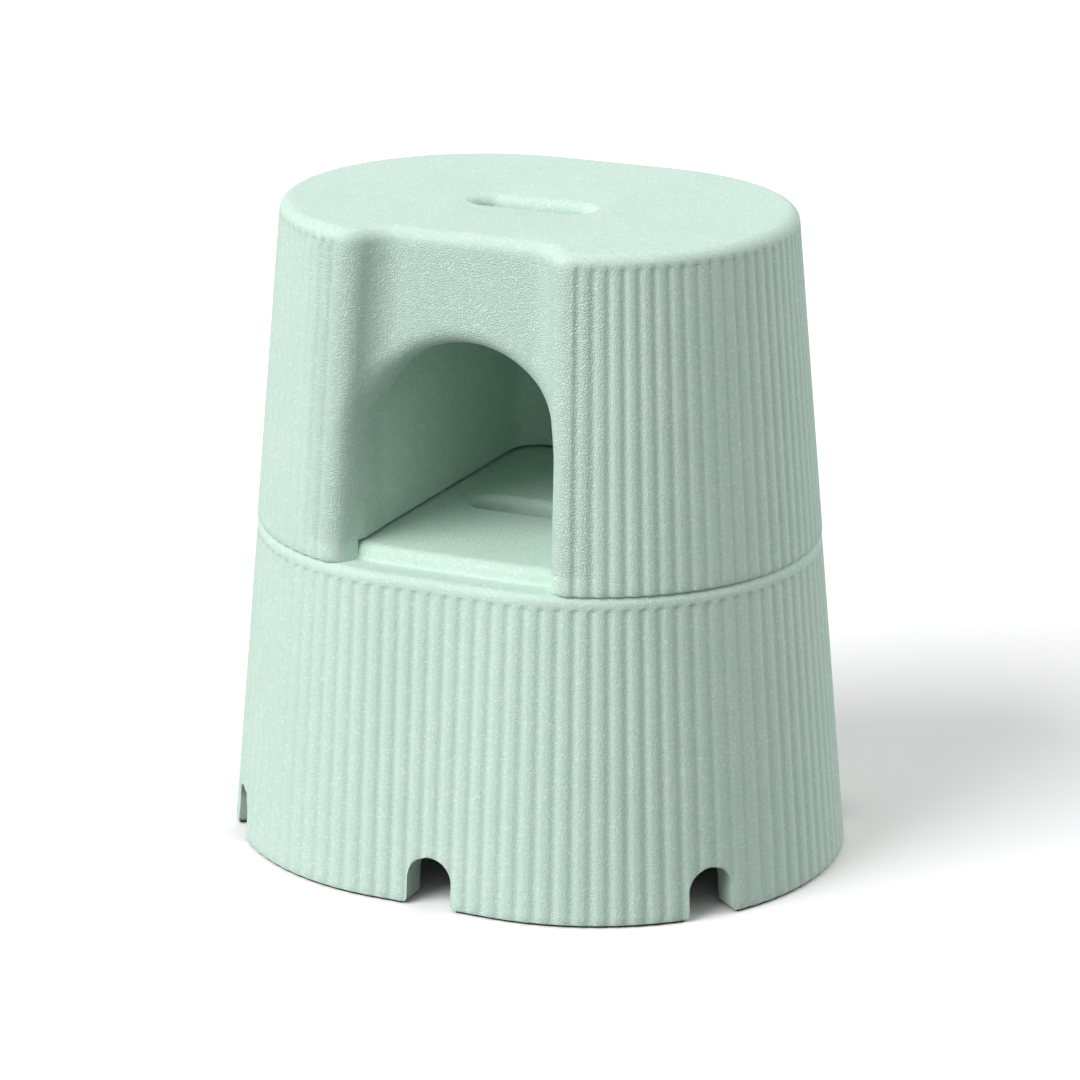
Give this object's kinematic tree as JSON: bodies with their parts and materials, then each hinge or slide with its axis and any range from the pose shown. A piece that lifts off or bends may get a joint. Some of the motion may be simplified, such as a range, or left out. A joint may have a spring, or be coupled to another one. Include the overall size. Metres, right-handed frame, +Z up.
{
  "type": "mounting block",
  "caption": "Stepped foam mounting block: a hollow upper block with an arched foot space, lifted off a wider hollow base block, with hand slots and a notched rim.",
  "frame": {"origin": "centre of the footprint, at floor level", "axes": "+Z up, -Y towards the arch, +X to the right as seen facing the arch"},
  "size_m": [0.5636, 0.4536, 0.58],
  "materials": {
    "base_foam": "moulded bead foam, matt",
    "upper_foam": "moulded bead foam, matt",
    "pad_rubber": "matt"
  },
  "bodies": {
    "base": {"base_block": "base_foam", "pad_front_left": "pad_rubber", "pad_front_right": "pad_rubber", "pad_end_left": "pad_rubber", "pad_end_right": "pad_rubber", "pad_back_left": "pad_rubber", "pad_back_right": "pad_rubber"},
    "upper": {"upper_block": "upper_foam"}
  },
  "joints": [
    {"name": "upper_lift", "type": "slide", "parent": "base", "child": "upper", "axis": [0, 0, 1], "range_m": [0, 0.3]}
  ]
}
